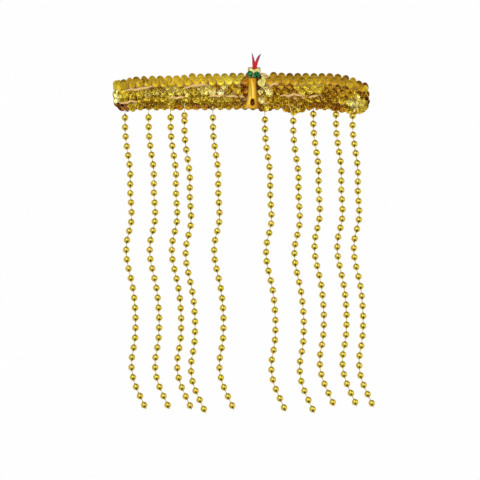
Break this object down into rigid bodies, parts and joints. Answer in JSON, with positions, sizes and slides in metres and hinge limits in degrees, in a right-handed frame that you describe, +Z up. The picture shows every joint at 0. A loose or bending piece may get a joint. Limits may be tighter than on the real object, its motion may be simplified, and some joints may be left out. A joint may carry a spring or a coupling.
{
  "type": "egyptian costume headdress",
  "caption": "Stretch headband of gold sequin rows with a snake ornament in front and gold bead strands hanging at each side.",
  "frame": {"origin": "middle of the head opening, at the middle of the band's height", "axes": "+Z up along the wearer's head, +X to the right of the picture, front of the band and snake faces -Y"},
  "size_m": [0.2091, 0.0879, 0.2882],
  "materials": {
    "knitted_elastic": "knitted elastic, pale beige gold",
    "gold_sequin": "gold metallised film, cupped, glossy",
    "gold_lame": "gold lame cloth, foil sheen",
    "pale_lame": "pale gold lame cloth, soft sheen",
    "green_stone": "faceted acrylic, foil backed, emerald green",
    "red_felt": "red felt",
    "gold_bead": "gold vacuum metallised plastic, polished"
  },
  "bodies": {
    "root": {"elastic_band": "knitted_elastic", "sequin_row_1": "gold_sequin", "sequin_row_2": "gold_sequin", "sequin_row_3": "gold_sequin", "sequin_row_4": "gold_sequin", "snake_body": "gold_lame", "snake_head": "pale_lame", "snake_eye_left": "green_stone", "snake_eye_right": "green_stone", "snake_tongue": "red_felt", "bead_strand_left_1": "gold_bead", "bead_strand_left_2": "gold_bead", "bead_strand_left_3": "gold_bead", "bead_strand_left_4": "gold_bead", "bead_strand_left_5": "gold_bead", "bead_strand_right_1": "gold_bead", "bead_strand_right_2": "gold_bead", "bead_strand_right_3": "gold_bead", "bead_strand_right_4": "gold_bead", "bead_strand_right_5": "gold_bead"}
  },
  "joints": []
}
